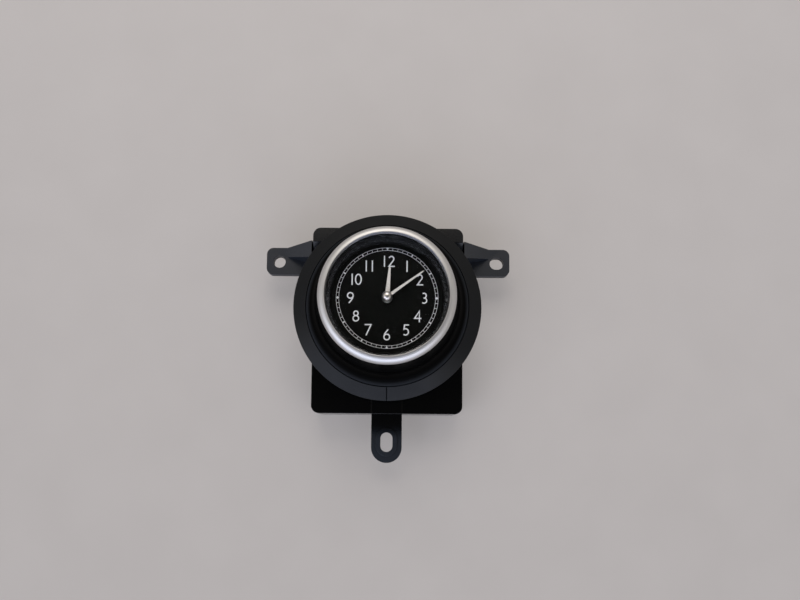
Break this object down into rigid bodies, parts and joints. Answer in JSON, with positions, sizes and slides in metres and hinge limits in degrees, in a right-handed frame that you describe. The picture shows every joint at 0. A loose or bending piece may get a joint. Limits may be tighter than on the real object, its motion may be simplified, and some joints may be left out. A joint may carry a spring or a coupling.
{
  "type": "dashboard clock",
  "caption": "Round dashboard clock: chrome-rimmed dial in a flanged barrel on a flat electronics box with two ears and a tab for screws.",
  "frame": {"origin": "on the dial axis, in the plane of the flat rear face", "axes": "+Z along the dial axis, the way the dial faces; +Y towards twelve o'clock; +X towards three o'clock"},
  "size_m": [0.102, 0.0987, 0.0491],
  "materials": {
    "housing_abs": "moulded, fine spark-eroded grain",
    "cover_abs": "moulded, fine grain",
    "barrel_abs": "moulded, smooth satin",
    "trim_tpe": "moulded, dry satin skin",
    "bezel_chrome": "satin plated",
    "lens_glass": "polished",
    "gasket_rubber": "moulded",
    "reflector_chrome": "dark polished plating",
    "dial_lacquer": "satin black lacquer",
    "hand_metal": "satin silver lacquer",
    "cap_chrome": "polished",
    "guide_acrylic": "polished clear acrylic",
    "white_pom": "moulded",
    "plate_brass": "stamped, brushed",
    "steel": "turned",
    "screw_steel": "zinc plated",
    "board_laminate": "green solder resist",
    "black_epoxy": "moulded epoxy",
    "can_steel": "drawn, nickel plated",
    "magnet_ferrite": "ground ferrite",
    "coil_copper": "enamelled copper wire",
    "pin_brass": "tinned pin",
    "led_white": "moulded lamp body",
    "capacitor_sleeve": "shrunk sleeve",
    "connector_pbt": "moulded glass-filled"
  },
  "bodies": {
    "case": {"main_housing": "housing_abs", "rear_cover": "cover_abs", "cover_screws": "screw_steel", "barrel": "barrel_abs", "barrel_screws": "screw_steel", "trim_ring": "trim_tpe", "bezel": "bezel_chrome", "lens": "lens_glass", "lens_gasket": "gasket_rubber", "reflector_ring": "reflector_chrome", "dial": "dial_lacquer", "light_guide": "guide_acrylic", "spacer_ring": "white_pom", "backlight_board": "board_laminate", "backlight_leds": "led_white", "front_plate": "plate_brass", "back_plate": "plate_brass", "pillars": "plate_brass", "plate_screws": "screw_steel", "minute_wheel_stud": "steel", "stator_can": "can_steel", "upper_poles": "can_steel", "coil_bobbin": "black_epoxy", "coil_winding": "coil_copper", "motor_pins": "pin_brass", "supply_pins": "pin_brass", "main_board": "board_laminate", "microcontroller": "black_epoxy", "quartz_crystal": "can_steel", "capacitors": "capacitor_sleeve", "regulator": "black_epoxy", "connector_shell": "connector_pbt", "connector_pins": "pin_brass"},
    "minute_train": {"centre_arbor": "steel", "centre_wheel": "white_pom", "cannon_pinion": "plate_brass", "minute_hand": "hand_metal", "hand_cap": "cap_chrome"},
    "hour_train": {"hour_wheel": "white_pom", "hour_hand": "hand_metal"},
    "minute_wheel_set": {"minute_wheel": "white_pom"},
    "middle_wheel_set": {"middle_wheel": "white_pom", "middle_arbor": "steel"},
    "rotor_set": {"rotor_magnet": "magnet_ferrite", "rotor_shaft": "steel", "rotor_pinion": "plate_brass"}
  },
  "joints": [
    {"name": "minute_hand_turn", "type": "hinge", "parent": "case", "child": "minute_train", "pos_m": [0, 0, 0.03], "axis": [0, 0, -1], "continuous": true},
    {"name": "hour_hand_turn", "type": "hinge", "parent": "case", "child": "hour_train", "pos_m": [0, 0, 0.03], "axis": [0, 0, -1], "continuous": true},
    {"name": "minute_wheel_turn", "type": "hinge", "parent": "case", "child": "minute_wheel_set", "pos_m": [-0.00482, 0.00575, 0.03], "axis": [0, 0, -1], "continuous": true},
    {"name": "middle_wheel_turn", "type": "hinge", "parent": "case", "child": "middle_wheel_set", "pos_m": [0.01176, 0, 0.03], "axis": [0, 0, -1], "continuous": true},
    {"name": "rotor_turn", "type": "hinge", "parent": "case", "child": "rotor_set", "pos_m": [0.00528, 0.00772, 0.03], "axis": [0, 0, -1], "continuous": true}
  ],
  "couplings": [
    {"joint": "hour_hand_turn", "follows": "minute_hand_turn", "ratio": 0.083333},
    {"joint": "minute_wheel_turn", "follows": "minute_hand_turn", "ratio": -0.33333},
    {"joint": "middle_wheel_turn", "follows": "minute_hand_turn", "ratio": -6},
    {"joint": "rotor_turn", "follows": "minute_hand_turn", "ratio": 30}
  ]
}
